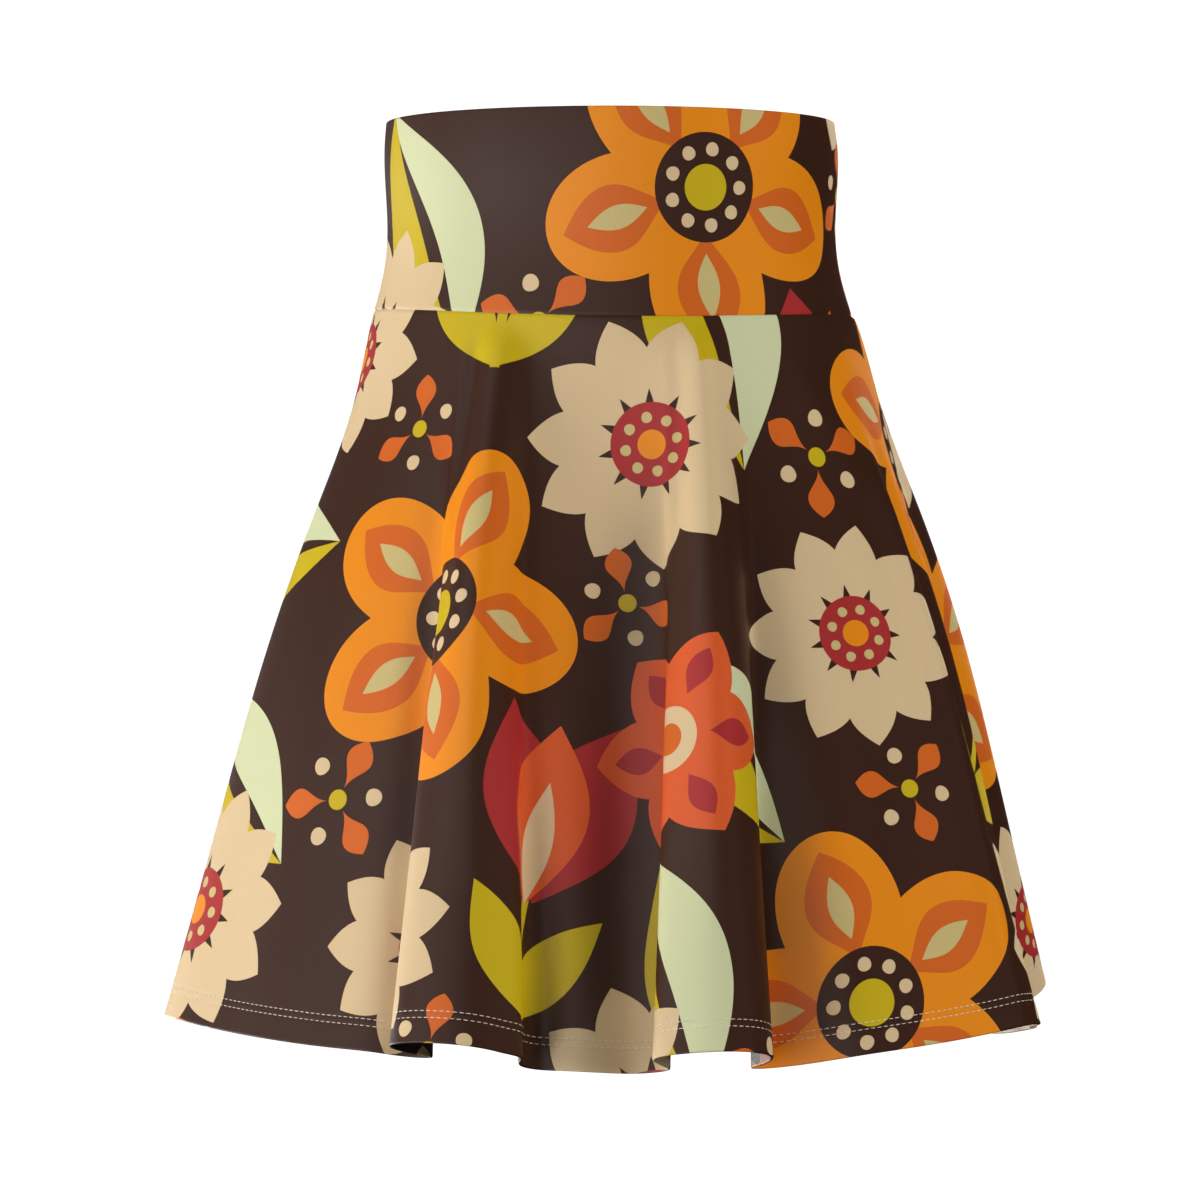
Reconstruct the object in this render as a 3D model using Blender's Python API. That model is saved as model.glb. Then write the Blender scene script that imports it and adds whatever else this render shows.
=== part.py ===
"""High-waisted circle skirt, filled out as it is when worn.

A wide waistband holds the skirt, which is cut as part of a ring and so falls into deep, uneven folds.
The front faces -Y, +Z is up, and the origin is the middle of the waist, the narrowest ring of the band.
Every piece is a wall of cloth with its outer side on the garment's form.
"""

import math

import bmesh
import bpy
import numpy as np

SIDES = (-1.0, 1.0)  # signs of Y at the front and at the back

# Cloth
BAND_WALL = 0.0018
SKIRT_WALL = 0.0015
SEAM_GAP = 0.0003

# Waistband, from its flat top edge down to the seam that joins the skirt
BAND_TOP = 0.052
SEAM_HEIGHT = -0.0455  # mean of the two sides
SEAM_DIP = 0.0062  # how much lower the seam lies at centre front and back
SEAM_TILT = 0.0014  # right side lower than the mean by this much, left side higher
BAND_SECTIONS = (  # share of the way down, half width to the left and to the right, half depth
    (0.00, 0.1148, 0.1140, 0.0889),
    (0.13, 0.1157, 0.1157, 0.0896),
    (0.53, 0.1143, 0.1147, 0.0885),
    (0.75, 0.1154, 0.1164, 0.0894),
    (1.00, 0.1210, 0.1232, 0.0930),
)
BAND_ROWS = 6
BAND_COLUMNS = 44

# Skirt, which hangs from the seam
FRONT_LENGTH = 0.374  # down the cloth at centre front and back
SIDE_LENGTH = 0.3715  # down the cloth at the side seams
SEAM_RING = (0.1210, 0.1232, 0.0930)  # half width to the left and to the right, half depth
HEM_RING = (0.2280, 0.2300, 0.1990)  # the same for the even cone that the folds depart from
FLARE = (  # share of the way down the cloth, share of the way out from the seam to the hem
    (0.00, 0.000),
    (0.13, 0.105),
    (0.30, 0.305),
    (0.50, 0.532),
    (0.75, 0.768),
    (1.00, 1.000),
)
FOLD_GROWTH = 1.15  # folds grow with this power of the way out
BULGE_PEAK = 0.6  # power that sets the place of the bulge, above the middle
SKIRT_ROWS = 12
SKIRT_COLUMNS = 84
TURN_WEIGHT = 3.4  # how much closer columns stand where the hem turns by a radian in TURN_SPAN
TURN_SPAN = 0.01

# The hem seen from above, in millimetres, from one side seam to the other. Each fold starts on the ring
# of the seam, at so many degrees round it from the left side seam, and the point of its row that is
# farthest from the axis hangs under that start. The bulge is how far, in millimetres, the cloth stands
# out there from its even flare.
FRONT_FOLDS = (  # fold, start, bulge, and the (x, y) points that its hem passes
    ("left seam", 0, 2, ((-195, 35),)),
    ("left front panel", 17, 1, ((-221, -74), (-184, -113), (-133, -154), (-113, -163))),
    ("left tuck", 51, 0, ((-97, -163), (-87, -167))),
    ("front left fold", 63, 0, ((-104, -190), (-78, -214), (-44, -194))),
    ("front valley edge", 71, 0, ((-42, -184),)),
    ("front valley", 101, 0, ((-8, -180), (16, -178), (26, -185))),
    ("front right fold", 109, 0, ((19, -203), (50, -217), (76, -194))),
    ("right tuck", 121, 0, ((68, -159),)),
    ("right front panel", 158, 0, ((115, -161), (162, -145), (206, -117))),
    ("right seam", 180, 8, ((192, 20),)),
)
BACK_FOLDS = (
    ("right seam", 180, 8, ((192, 20),)),
    ("right back fold", 163, 5, ((230, 80), (206, 132))),
    ("right back valley", 134, 0, ((158, 142), (134, 150))),
    ("back right fold", 120, 0, ((135, 190), (111, 215), (87, 194))),
    ("back right valley", 101, 0, ((80, 165), (50, 160), (21, 173))),
    ("centre back fold", 84, 0, ((15, 206), (-12, 224), (-40, 206))),
    ("back left valley", 68, 0, ((-46, 174), (-74, 158))),
    ("back left fold", 51, 0, ((-97, 182), (-127, 204), (-151, 176))),
    ("left back valley", 37, 0, ((-148, 144),)),
    ("left back fold", 13, 2, ((-195, 140), (-226, 84))),
    ("left seam", 0, 2, ((-195, 35),)),
)
TABLE_UNIT = 0.001  # metres in one unit of the fold tables
SPAN_SAMPLES = 40  # samples between two neighbouring points of the hem
HEM_SAMPLES = 1200  # even samples along each half of the hem
DROP_STEPS = 8  # steps in each row for working out how far the cloth drops

CLOTH_COLOUR = (0.051, 0.019, 0.0105, 1.0)
CLOTH_ROUGHNESS = 0.75


def clear_scene():
    for obj in list(bpy.data.objects):
        bpy.data.objects.remove(obj, do_unlink=True)


def natural_spline(knots, values, at):
    """Natural cubic spline through values at knots, read at the places in at."""
    knots, values, at = (np.asarray(a, float) for a in (knots, values, at))
    step = np.diff(knots)
    slope = np.diff(values) / step
    count = len(knots)
    matrix = np.eye(count)
    right = np.zeros(count)
    for i in range(1, count - 1):
        matrix[i, i - 1 : i + 2] = step[i - 1], 2 * (step[i - 1] + step[i]), step[i]
        right[i] = 6 * (slope[i] - slope[i - 1])
    bend = np.linalg.solve(matrix, right)
    i = np.clip(np.searchsorted(knots, at) - 1, 0, count - 2)
    low = (knots[i + 1] - at) / step[i]
    high = (at - knots[i]) / step[i]
    rise = ((low**3 - low) * bend[i] + (high**3 - high) * bend[i + 1]) * step[i] ** 2 / 6
    return low * values[i] + high * values[i + 1] + rise


def rising_spline(knots, values, at):
    """Cubic spline that rises or falls only where its values do."""
    knots, values, at = (np.asarray(a, float) for a in (knots, values, at))
    step = np.diff(knots)
    slope = np.diff(values) / step
    grade = np.concatenate([slope[:1], np.zeros(len(knots) - 2), slope[-1:]])
    for i in range(1, len(knots) - 1):
        if slope[i - 1] * slope[i] > 0:
            before, after = 2 * step[i] + step[i - 1], step[i] + 2 * step[i - 1]
            grade[i] = (before + after) / (before / slope[i - 1] + after / slope[i])
    i = np.clip(np.searchsorted(knots, at) - 1, 0, len(step) - 1)
    share = (at - knots[i]) / step[i]
    keep = (1 + 2 * share) * (1 - share) ** 2
    leave = share * (1 - share) ** 2
    arrive = share**2 * (share - 1)
    return (
        keep * values[i]
        + (1 - keep) * values[i + 1]
        + step[i] * (leave * grade[i] + arrive * grade[i + 1])
    )


def closed_spline(points, per_span):
    """Closed curve with continuous curvature through the points, per_span samples in each span."""
    points = np.asarray(points, float)
    count = len(points)
    step = np.linalg.norm(np.roll(points, -1, axis=0) - points, axis=1)
    slope = (np.roll(points, -1, axis=0) - points) / step[:, None]
    matrix = np.zeros((count, count))
    for i in range(count):
        matrix[i, i - 1] = step[i - 1]
        matrix[i, i] = 2 * (step[i - 1] + step[i])
        matrix[i, (i + 1) % count] = step[i]
    bend = np.linalg.solve(matrix, 6 * (slope - np.roll(slope, 1, axis=0)))
    spans = []
    share = np.arange(per_span)[:, None] / per_span
    for i in range(count):
        j = (i + 1) % count
        rise = ((1 - share) ** 3 - (1 - share)) * bend[i] + (share**3 - share) * bend[j]
        spans.append((1 - share) * points[i] + share * points[j] + rise * step[i] ** 2 / 6)
    return spans


def run_length(points):
    return np.concatenate([[0.0], np.cumsum(np.linalg.norm(np.diff(points, axis=0), axis=1))])


def hem_half(side):
    """One half of the hem in metres, from the left seam round the front or the back to the right seam."""
    front_points = [point for *_, line in FRONT_FOLDS for point in line]
    back_points = [point for *_, line in BACK_FOLDS for point in line]
    loop = np.array(front_points + back_points[1:-1]) * TABLE_UNIT
    spans = closed_spline(loop, SPAN_SAMPLES)
    turn = len(front_points) - 1
    if side < 0:
        return np.concatenate(spans[:turn] + [loop[turn : turn + 1]])
    return np.concatenate(spans[turn:] + [loop[:1]])[::-1]


def ring_point(ring, angle, side):
    """(x, y) on an oval ring; the angle runs from the left side, round the front or back, to the right."""
    left, right, deep = ring
    wide = np.where(angle < math.pi / 2, left, right)
    return -wide * np.cos(angle), side * deep * np.sin(angle)


class Half:
    """The front or the back half of the skirt: its hem line, and the seam ring above it."""

    def __init__(self, side):
        self.side = side
        hem = hem_half(side)
        length = run_length(hem)
        even = np.linspace(0.0, length[-1], HEM_SAMPLES)
        self.hem = np.column_stack([np.interp(even, length, hem[:, k]) for k in (0, 1)])
        self.hem_length = length[-1]
        self.set_starts(FRONT_FOLDS if side < 0 else BACK_FOLDS)

    def set_starts(self, folds):
        """Where each fold starts on the ring, and its bulge."""
        rows = []
        every = np.linspace(0.0, 1.0, HEM_SAMPLES)
        for _, start, bulge, line in folds:
            tip = max(line, key=lambda point: math.hypot(*point))
            apart = np.linalg.norm(self.hem - np.array(tip) * TABLE_UNIT, axis=1)
            rows.append((every[np.argmin(apart)], math.radians(start), bulge * TABLE_UNIT))
        rows.sort()
        self.start_share, self.start_angle, self.start_bulge = np.array(rows).T

    def angle_at(self, share):
        return rising_spline(self.start_share, self.start_angle, share)

    def bulge_at(self, share):
        return rising_spline(self.start_share, self.start_bulge, share)

    def hem_at(self, share):
        every = np.linspace(0.0, 1.0, HEM_SAMPLES)
        return np.column_stack([np.interp(share, every, self.hem[:, k]) for k in (0, 1)])

    def columns(self, count):
        """Shares of the way round, closer together where the hem turns."""
        along = np.gradient(self.hem, axis=0)
        heading = np.unwrap(np.arctan2(along[:, 1], along[:, 0]))
        turning = np.abs(np.gradient(heading)) * HEM_SAMPLES / self.hem_length * TURN_SPAN
        weight = 1.0 + TURN_WEIGHT * np.sqrt(turning)
        total = np.concatenate([[0.0], np.cumsum((weight[1:] + weight[:-1]) / 2)])
        every = np.linspace(0.0, 1.0, HEM_SAMPLES)
        return np.interp(np.linspace(0.0, total[-1], count), total, every)


def seam_height(angle):
    """Height of the seam between band and skirt; angle runs from the left side to the right side."""
    return SEAM_HEIGHT - SEAM_DIP * np.sin(angle) ** 2 + SEAM_TILT * np.cos(angle)


def skirt_surface(half):
    """Grid of points, rows down the cloth and columns round it, on the skirt's outer side."""
    shares = half.columns(SKIRT_COLUMNS + 1)
    down = np.linspace(0.0, 1.0, DROP_STEPS * SKIRT_ROWS + 1)
    out = natural_spline(*np.array(FLARE).T, down)[:, None]
    angle = half.angle_at(shares)
    hem = half.hem_at(shares)
    seam_x, seam_y = ring_point(SEAM_RING, angle, half.side)
    cone_x, cone_y = ring_point(HEM_RING, angle, half.side)
    bulge = np.sin(math.pi * down**BULGE_PEAK)[:, None] * half.bulge_at(shares)
    folding = out**FOLD_GROWTH
    x = seam_x + out * (cone_x - seam_x) + folding * (hem[:, 0] - cone_x) - bulge * np.cos(angle)
    y = seam_y + out * (cone_y - seam_y) + folding * (hem[:, 1] - cone_y)
    y = y + half.side * bulge * np.sin(angle)
    outward = np.hypot(np.diff(x, axis=0), np.diff(y, axis=0))
    length = SIDE_LENGTH + (FRONT_LENGTH - SIDE_LENGTH) * np.sin(angle) ** 2
    step = length / (len(down) - 1)
    drop = np.sqrt(np.maximum(step**2 - outward**2, 0.0))
    fallen = np.concatenate([np.zeros((1, len(shares))), np.cumsum(drop, axis=0)])
    z = seam_height(angle) - fallen
    return np.stack([x, y, z], axis=-1)[::DROP_STEPS]


def band_surface(side):
    """Grid of points on the waistband's outer side, from its top edge down to a gap above the seam."""
    down = np.linspace(0.0, 1.0, BAND_ROWS + 1)
    table = np.array(BAND_SECTIONS)
    left = natural_spline(table[:, 0], table[:, 1], down)[:, None]
    right = natural_spline(table[:, 0], table[:, 2], down)[:, None]
    deep = natural_spline(table[:, 0], table[:, 3], down)[:, None]
    angle = np.linspace(0.0, math.pi, BAND_COLUMNS + 1)
    x, y = ring_point((left, right, deep), angle, side)
    z = BAND_TOP + (seam_height(angle) + SEAM_GAP - BAND_TOP) * down[:, None]
    return np.stack([x, y, z], axis=-1)


def wall_sides(grid, before, after, side, wall):
    """The outer and the inner side of one piece, each half a gap away from its side seams.

    The columns before and after are those of the neighbouring piece next to the side seams.
    """
    padded = np.concatenate([before[:, None], grid, after[:, None]], axis=1)
    around = padded[:, 2:] - padded[:, :-2]
    around /= np.linalg.norm(around, axis=-1, keepdims=True)
    inward = -side * np.cross(around, np.gradient(grid, axis=0))
    inward /= np.linalg.norm(inward, axis=-1, keepdims=True)
    outer = grid.copy()
    outer[:, 0] += around[:, 0] * SEAM_GAP / 2
    outer[:, -1] -= around[:, -1] * SEAM_GAP / 2
    return outer, outer + inward * wall


def material(name):
    found = bpy.data.materials.new(name)
    found.use_nodes = True
    shader = found.node_tree.nodes["Principled BSDF"]
    shader.inputs["Base Color"].default_value = CLOTH_COLOUR
    shader.inputs["Roughness"].default_value = CLOTH_ROUGHNESS
    shader.inputs["Metallic"].default_value = 0.0
    return found


def cloth_piece(name, sides, outward, collection):
    """A closed wall of cloth between its outer and its inner side."""
    mesh = bpy.data.meshes.new(name)
    body = bmesh.new()
    outer, inner = ([[body.verts.new(point) for point in row] for row in grid] for grid in sides)
    strips = []
    for grid, flip in ((outer, False), (inner, True)):
        strips += [(upper, lower, flip) for upper, lower in zip(grid, grid[1:])]
    for line, (start, end) in enumerate(((0, 0), (-1, -1))):
        strips.append((inner[start], outer[end], line == 1))
        strips.append(([row[start] for row in outer], [row[end] for row in inner], line == 1))
    for upper, lower, flip in strips:
        for i in range(len(upper) - 1):
            corners = (upper[i], lower[i], lower[i + 1], upper[i + 1])
            body.faces.new(corners if outward != flip else corners[::-1])
    body.to_mesh(mesh)
    body.free()
    mesh.shade_smooth()
    mesh.materials.append(material(name + "_cloth"))
    collection.objects.link(bpy.data.objects.new(name, mesh))


def build():
    clear_scene()
    collection = bpy.data.collections.new("circle_skirt")
    bpy.context.scene.collection.children.link(collection)
    bands = [band_surface(side) for side in SIDES]
    skirts = [skirt_surface(Half(side)) for side in SIDES]
    for kind, grids, wall in (("waistband", bands, BAND_WALL), ("skirt", skirts, SKIRT_WALL)):
        for place, side, grid, other in zip(("front", "back"), SIDES, grids, grids[::-1]):
            sides = wall_sides(grid, other[:, 1], other[:, -2], side, wall)
            cloth_piece(f"{kind}_{place}", sides, side < 0, collection)


build()
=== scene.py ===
"""High-waisted circle skirt of printed jersey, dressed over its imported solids.

The front faces -Y and +Z is up. The form, the cut and the studio are in metres. The folds' points, creases,
rows, stitches and the print are in millimetres. The headings below say which.
"""

import math

import bmesh
import bpy
import mathutils
import numpy as np
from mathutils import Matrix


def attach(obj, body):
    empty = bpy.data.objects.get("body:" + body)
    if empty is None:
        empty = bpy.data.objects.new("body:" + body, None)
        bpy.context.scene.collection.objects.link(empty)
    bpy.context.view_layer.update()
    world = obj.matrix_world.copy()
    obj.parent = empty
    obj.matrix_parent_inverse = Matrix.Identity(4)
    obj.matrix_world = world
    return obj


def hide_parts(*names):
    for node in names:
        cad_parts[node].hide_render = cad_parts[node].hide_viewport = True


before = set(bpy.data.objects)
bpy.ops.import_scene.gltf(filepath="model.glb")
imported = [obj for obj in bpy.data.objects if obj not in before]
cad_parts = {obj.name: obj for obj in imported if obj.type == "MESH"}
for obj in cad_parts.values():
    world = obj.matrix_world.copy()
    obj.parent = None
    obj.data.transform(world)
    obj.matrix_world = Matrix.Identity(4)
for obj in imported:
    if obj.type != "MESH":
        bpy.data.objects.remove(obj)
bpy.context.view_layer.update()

MM = 0.001
FRONT, BACK = -1.0, 1.0  # signs of Y

# Form, as in the part, in metres
BAND_TOP = 0.052
SEAM_HEIGHT = -0.0455
SEAM_DIP = 0.0062  # how much lower the seam is at the middle of the front and the back
SEAM_TILT = 0.0014  # how much higher it is at the left side, and lower at the right
BAND_SECTIONS = (  # share of the way down, half width to the left and to the right, half depth
    (0.00, 0.1148, 0.1140, 0.0889),
    (0.13, 0.1157, 0.1157, 0.0896),
    (0.53, 0.1143, 0.1147, 0.0885),
    (0.75, 0.1154, 0.1164, 0.0894),
    (1.00, 0.1210, 0.1232, 0.0930),
)
FRONT_LENGTH = 0.374
SIDE_LENGTH = 0.3715
SEAM_RING = (0.1210, 0.1232, 0.0930)  # half width to the left and to the right, half depth
HEM_RING = (0.2280, 0.2300, 0.1990)
FLARE = (  # share of the way down the cloth, share of the way out from the seam to the hem
    (0.00, 0.000),
    (0.13, 0.105),
    (0.30, 0.305),
    (0.50, 0.532),
    (0.75, 0.768),
    (1.00, 1.000),
)
FOLD_GROWTH = 1.15  # over 1, so folds grow later on the way down than the flare does
BULGE_PEAK = 0.6  # under 1, so bulges are highest above the middle of the cloth
# Each fold: its name, its start in degrees round the seam, its bulge, and the points that its hem passes, the
# last two in millimetres
FRONT_FOLDS = (
    ("left seam", 0, 2, ((-195, 35),)),
    ("left front panel", 17, 1, ((-221, -74), (-184, -113), (-133, -154), (-113, -163))),
    ("left tuck", 51, 0, ((-97, -163), (-87, -167))),
    ("front left fold", 63, 0, ((-104, -190), (-78, -214), (-44, -194))),
    ("front valley edge", 71, 0, ((-42, -184),)),
    ("front valley", 101, 0, ((-8, -180), (16, -178), (26, -185))),
    ("front right fold", 109, 0, ((19, -203), (50, -217), (76, -194))),
    ("right tuck", 121, 0, ((68, -159),)),
    ("right front panel", 158, 0, ((115, -161), (162, -145), (206, -117))),
    ("right seam", 180, 8, ((192, 20),)),
)
BACK_FOLDS = (
    ("right seam", 180, 8, ((192, 20),)),
    ("right back fold", 163, 5, ((230, 80), (206, 132))),
    ("right back valley", 134, 0, ((158, 142), (134, 150))),
    ("back right fold", 120, 0, ((135, 190), (111, 215), (87, 194))),
    ("back right valley", 101, 0, ((80, 165), (50, 160), (21, 173))),
    ("centre back fold", 84, 0, ((15, 206), (-12, 224), (-40, 206))),
    ("back left valley", 68, 0, ((-46, 174), (-74, 158))),
    ("back left fold", 51, 0, ((-97, 182), (-127, 204), (-151, 176))),
    ("left back valley", 37, 0, ((-148, 144),)),
    ("left back fold", 13, 2, ((-195, 140), (-226, 84))),
    ("left seam", 0, 2, ((-195, 35),)),
)
SPAN_SAMPLES = 40
HEM_SAMPLES = 1200
DROP_STEPS = 240
TURN_WEIGHT = 2.4  # how much closer together the columns are where the hem turns
TURN_SPAN = 0.01  # length of hem over which its turn is measured

# Cloth: thicknesses in metres
JERSEY = 0.0006  # one layer
HEM_FOLD = 0.0014  # the turned-up hem
BAND_THICKNESS = 0.0016  # the band's two layers

# Turned-up hem and seams, in millimetres
HEM_DEPTH = 16.5
GROOVE_DEPTH = 0.4  # how far the cloth turns in at a seam
GROOVE_WIDTH = 0.9

# Cut, in metres: each skirt panel is a quarter of a ring, and each half of the band a strip
CUT_INNER = 0.216
CUT_SPREAD = math.pi / 2
BAND_CUT = 0.340
BAND_CUT_HEIGHT = 0.104

# Mesh: numbers of rows and columns, and distances in millimetres
SKIRT_COLUMNS = 300
SKIRT_ROWS = 84
BAND_COLUMNS = 200
BAND_ROWS = 36
SEAM_ROWS = (0.0, 0.35, 0.7, 1.1, 1.6, 2.3, 3.4)  # close rows, by their distance from the waist seam
SKIRT_SEAM_GAP = 2.0  # from the last of them to the even rows
BAND_SEAM_GAP = 1.5
HEM_ROWS_LEAD = 5.0  # how far above the turned-up hem the close rows begin
HEM_ROWS_GAP = 1.0  # from the last even row to them
HEM_ROW_STEP = 0.6
BAND_TOP_ROWS = (4.0, 2.6, 1.5)  # the last even row, and the close ones, by their distance from the top edge
BAND_TOP_PLAIN = 2.0  # how far down from the top edge the band's inner side has no groove
# Close columns at a side seam, by their share of the way round
SKIRT_EDGE_COLUMNS = (0.0, 0.0007, 0.0015, 0.0024, 0.0036, 0.0052, 0.0075)
BAND_EDGE_COLUMNS = (0.0, 0.001, 0.0022, 0.0036, 0.0052, 0.0075)
EDGE_GAP = 1.4  # other columns begin at so many times the last close one's share
FOLD_STEPS = 5

# Stitching along the hem, in millimetres
STITCH_ROWS = (12.2, 15.5)  # height above the hem's edge
STITCH_PITCH = 3.2
STITCH_LENGTH = 2.35
STITCH_START = 0.15  # the first stitch's start, in stitches from the side seam
STITCH_STAGGER = 0.5  # how far the upper row is behind the lower one, in stitches
STITCH_FLATNESS = 0.7
STITCH_LIFT = 0.02
STITCH_DENT = 0.16  # how far a row of stitches draws the cloth in
STITCH_SPREAD = 0.8  # how far from the row it does
STITCH_SIDES = 6
STITCH_PROFILE = ((0.12, 0.72), (0.3, 1.0), (0.7, 1.0), (0.88, 0.72))  # share along, share of the radius
THREAD_RADIUS = 0.2
ROW_PROBE = 0.5  # distance to the neighbouring rows that a row's normals come from

# Creases, in millimetres: soft ridges (height above 0) and troughs (below 0) that the even flare lacks. Each
# runs from one place to another. A place is the share of the way from the left to the right side seam, in
# percent, and the distance down from the waist seam. A crease that starts above the seam or ends below the
# hem runs off there.
SKIRT_FRONT_CREASES = (  # from, to, sideways bow, half width, height
    ((20.0, 40), (21.0, 480), 0, 30, 5.0),
    ((31.6, -40), (32.0, 200), 0, 12, 3.0),
    ((35.0, -60), (36.0, 215), 0, 9, -3.0),
    ((38.8, -60), (39.3, 300), 0, 17, 9.5),
    ((43.3, 200), (43.5, 560), 0, 7, 3.2),
    ((46.2, 190), (46.2, 560), 0, 8, -3.6),
    ((49.6, -50), (50.2, 380), 0, 21, -8.5),
    ((53.0, -40), (53.2, 240), 0, 12, 3.5),
    ((56.4, -40), (56.6, 225), 0, 9, -3.0),
    ((60.2, -60), (59.6, 330), 0, 17, 10.5),
    ((71.0, 0), (83.5, 125), 3, 11, 2.2),
    ((72.0, 40), (75.5, 420), -4, 17, -4.0),
    ((75.5, 65), (82.0, 320), 5, 14, 2.0),
    ((82.8, 40), (83.3, 430), 0, 8, 5.0),
    ((86.4, 55), (86.8, 460), 0, 8, -9.0),
    ((90.3, 55), (90.6, 520), 0, 11, 6.0),
)
SKIRT_BACK_CREASES = (
    ((12, 20), (8, 330), 4, 12, 3.0),
    ((22, -30), (19, 210), -5, 13, -3.2),
    ((31, -20), (26, 260), 5, 14, 4.2),
    ((42, 10), (44, 160), 3, 10, -2.4),
    ((50, -40), (49, 340), 4, 15, 3.6),
    ((61, -20), (66, 210), -6, 13, 4.4),
    ((70, 0), (77, 290), -4, 14, -3.4),
    ((82, 30), (90, 200), 3, 10, 2.8),
)
CREASE_CLEAR = 14.0  # the creases rise from nothing over so many millimetres below the waist seam

# Print: colours, and lengths in millimetres
CUT_MAP = "cut"
GROUND = (0.0425, 0.0155, 0.0085, 1.0)
CREAM = (0.70, 0.515, 0.29, 1.0)
AMBER = (0.82, 0.255, 0.006, 1.0)
ORANGE = (0.64, 0.125, 0.012, 1.0)
CRIMSON = (0.39, 0.027, 0.027, 1.0)
PALE_YELLOW = (0.60, 0.47, 0.19, 1.0)
LIME = (0.58, 0.42, 0.008, 1.0)
PALE_GREEN = (0.64, 0.66, 0.38, 1.0)
CORAL = (0.70, 0.105, 0.022, 1.0)
REVERSE = (0.78, 0.76, 0.72, 1.0)
THREAD = (0.86, 0.80, 0.70, 1.0)
THREAD_DARK = (0.62, 0.56, 0.46, 1.0)
BLACK = (0.0, 0.0, 0.0, 1.0)
WHITE = (1.0, 1.0, 1.0, 1.0)
REPEAT_WIDTH = 316.0
REPEAT_HEIGHT = 330.0
PRINT_SHIFTS = {  # where the print lies on each cut piece
    "skirt_front": (96.0, 386.0),
    "skirt_back": (-35.0, 470.0),
    "waistband_front": (-60.0, 66.0),
    "waistband_back": (20.0, 150.0),
}
FOLK_LEAF = (132.0, 33.0)  # length, half width
FOLK_LEAF_RIB = (116.0, 4.2)
TULIP_STEM = 84.0
TULIP_STEM_WIDTH = 2.4  # to each side
TULIP_LEAF = (66.0, 13.0)
TULIP_LEAF_TURN = -34.0
TULIP_SIDE = (88.0, 24.0)
TULIP_SIDE_FOOT = (4.0, -28.0)
TULIP_SIDE_TURN = -15.0
TULIP_MIDDLE = (82.0, 20.0)
TULIP_MIDDLE_FOOT = (0.0, -30.0)
TULIP_HEART = (56.0, 7.0)

# Surface of the cloth and the thread: ribs and courses of the knit in millimetres, bumps in metres
WALE = 0.8
COURSE = 0.6
KNIT_HEIGHT = 0.25
UNEVEN_HEIGHT = 0.5
UNEVEN_SCALE = 0.22
UNEVEN_DETAIL = 3.0
JERSEY_BUMP = (0.35, 0.0002)  # strength, distance
MOTTLE_SCALE = 0.9
MOTTLE_DETAIL = 2.0
MOTTLE_RANGE = (-0.6, 1.1)
MOTTLE_DEPTH = 0.18
REVERSE_SHOW = 0.16  # how much of the print shows through on the reverse
FUZZ_SCALE = 2500.0
FUZZ_DETAIL = 2.0
THREAD_BUMP = (0.5, 0.0001)
PRINTED_GLOSS = (0.5, 0.5)  # roughness, specular level
REVERSE_GLOSS = (0.8, 0.2)
THREAD_GLOSS = (0.6, 0.2)

# Studio, in metres
CAMERA_DISTANCE = 2.4
CAMERA_X = -0.0056
CAMERA_Z = -0.1916
VIEW_WIDTH = 0.6135  # width that the camera sees at the skirt's middle
OBJECT_MIDDLE = (0.0, 0.0, -0.18)
WORLD_SEEN = 1.1  # the white behind the skirt
WORLD_LIGHT = 0.01
FLOOR_HEIGHT = -1.0
FLOOR_SIZE = 60.0
FLOOR_SEEN = 1.1
FLOOR_PALE = (0.86, 0.86, 0.86, 1.0)
FLOOR_PALER = (0.9, 0.9, 0.9, 1.0)
FLOOR_GRAIN = (3.0, 2.0)  # scale, detail
FLOOR_ROUGHNESS = 0.9
SENSOR_WIDTH = 36.0
LIGHT_DISTANCE = 3.2
LIGHTS = (  # name, degrees right of the front, degrees above the middle, (width, height), watts, gloss alone
    ("key_left", -79, 2, (1.0, 1.4), 100, False),
    ("front_left", -36, -12, (1.0, 1.4), 38, False),
    ("fill_right", 60, 14, (1.2, 1.8), 82, False),
    ("top_front", -30, 35, (1.2, 1.0), 16, False),
    ("back_key", 150, 12, (1.2, 1.4), 72, False),
    ("top_back", 195, 40, (1.6, 1.2), 40, False),
    ("low_left_gloss", -50, -25, (1.0, 1.4), 58, True),
    ("high_left_gloss", -58, 34, (1.6, 1.6), 11, True),
    ("far_left_gloss", -125, -22, (1.0, 1.4), 108, True),
    ("front_gloss", -10, 4, (1.0, 1.4), 12, True),
)


def natural_spline(knots, values, at):
    """Natural cubic spline through values at knots, read at the places in at."""
    knots, values, at = (np.asarray(a, float) for a in (knots, values, at))
    step = np.diff(knots)
    slope = np.diff(values) / step
    count = len(knots)
    matrix = np.eye(count)
    right = np.zeros(count)
    for i in range(1, count - 1):
        matrix[i, i - 1 : i + 2] = step[i - 1], 2 * (step[i - 1] + step[i]), step[i]
        right[i] = 6 * (slope[i] - slope[i - 1])
    bend = np.linalg.solve(matrix, right)
    i = np.clip(np.searchsorted(knots, at) - 1, 0, count - 2)
    low = (knots[i + 1] - at) / step[i]
    high = (at - knots[i]) / step[i]
    rise = ((low**3 - low) * bend[i] + (high**3 - high) * bend[i + 1]) * step[i] ** 2 / 6
    return low * values[i] + high * values[i + 1] + rise


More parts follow.
